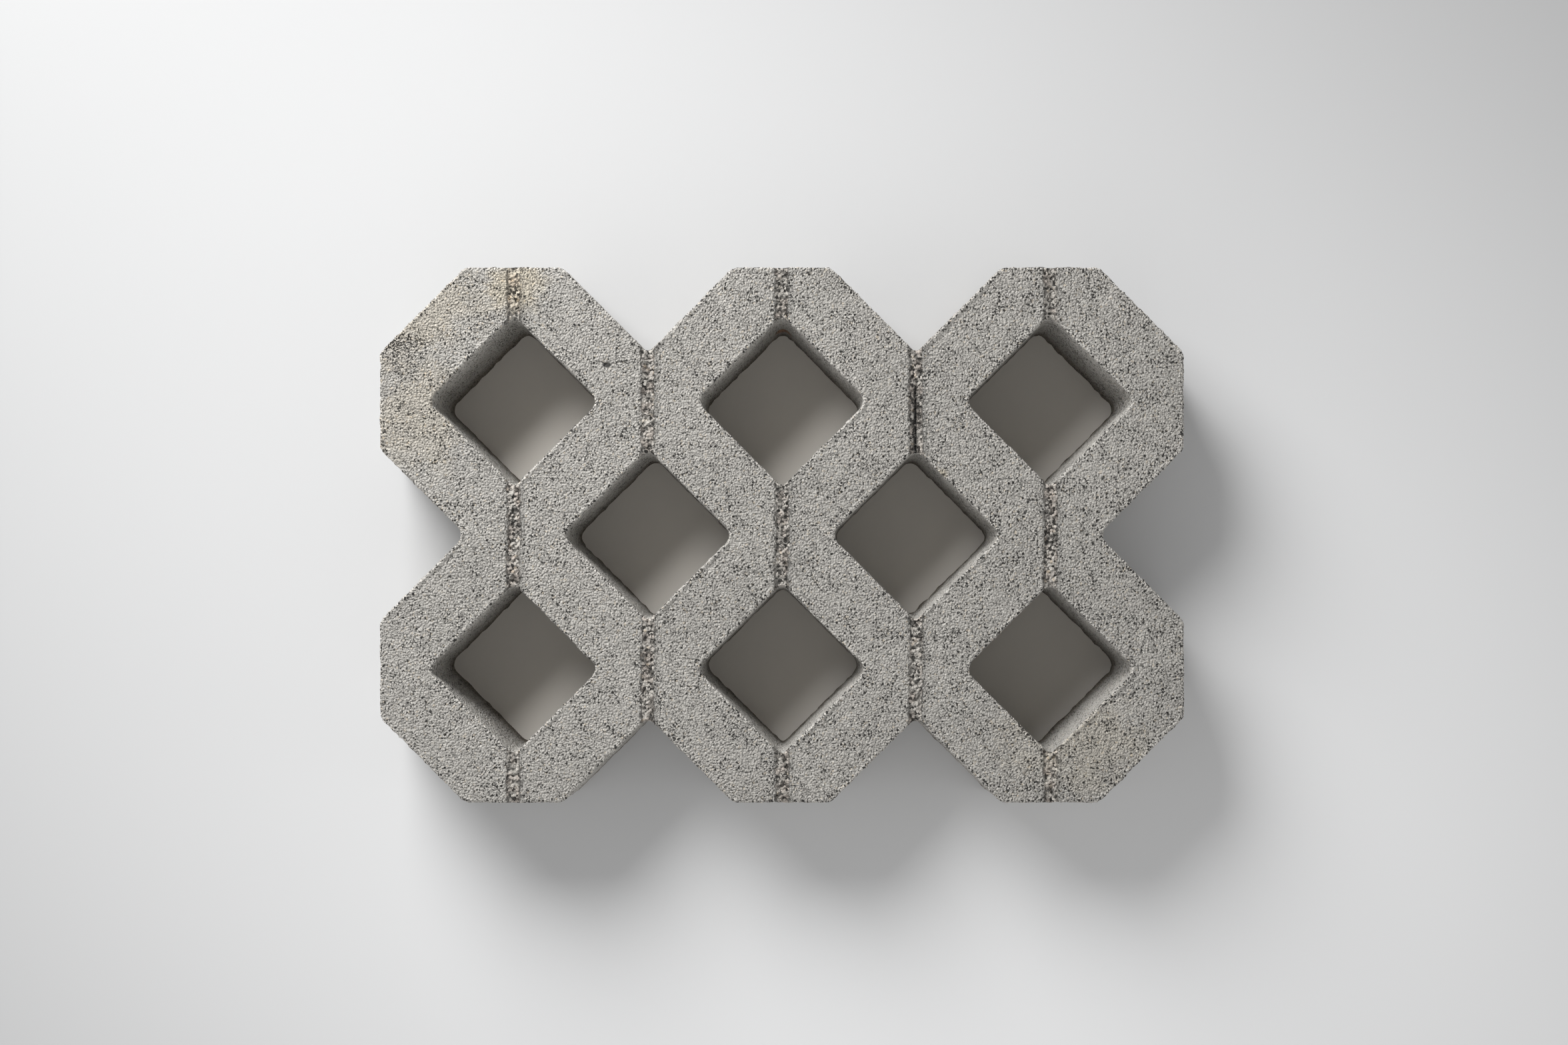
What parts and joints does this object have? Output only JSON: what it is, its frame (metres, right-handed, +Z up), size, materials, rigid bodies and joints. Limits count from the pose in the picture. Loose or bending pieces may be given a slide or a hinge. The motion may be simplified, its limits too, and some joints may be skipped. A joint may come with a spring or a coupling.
{
  "type": "grass paver block",
  "caption": "Rectangular cast concrete paving block pierced by a lattice of diamond openings for soil and grass, with half openings along its edges.",
  "frame": {"origin": "centre of the underside, on the surface that the block lies on", "axes": "+X along the 600 mm length, +Y along the 400 mm width, +Z up out of the wearing face"},
  "size_m": [0.6, 0.4, 0.08],
  "materials": {
    "concrete": "rough dry-cast concrete"
  },
  "bodies": {
    "root": {"paver_block": "concrete"}
  },
  "joints": []
}
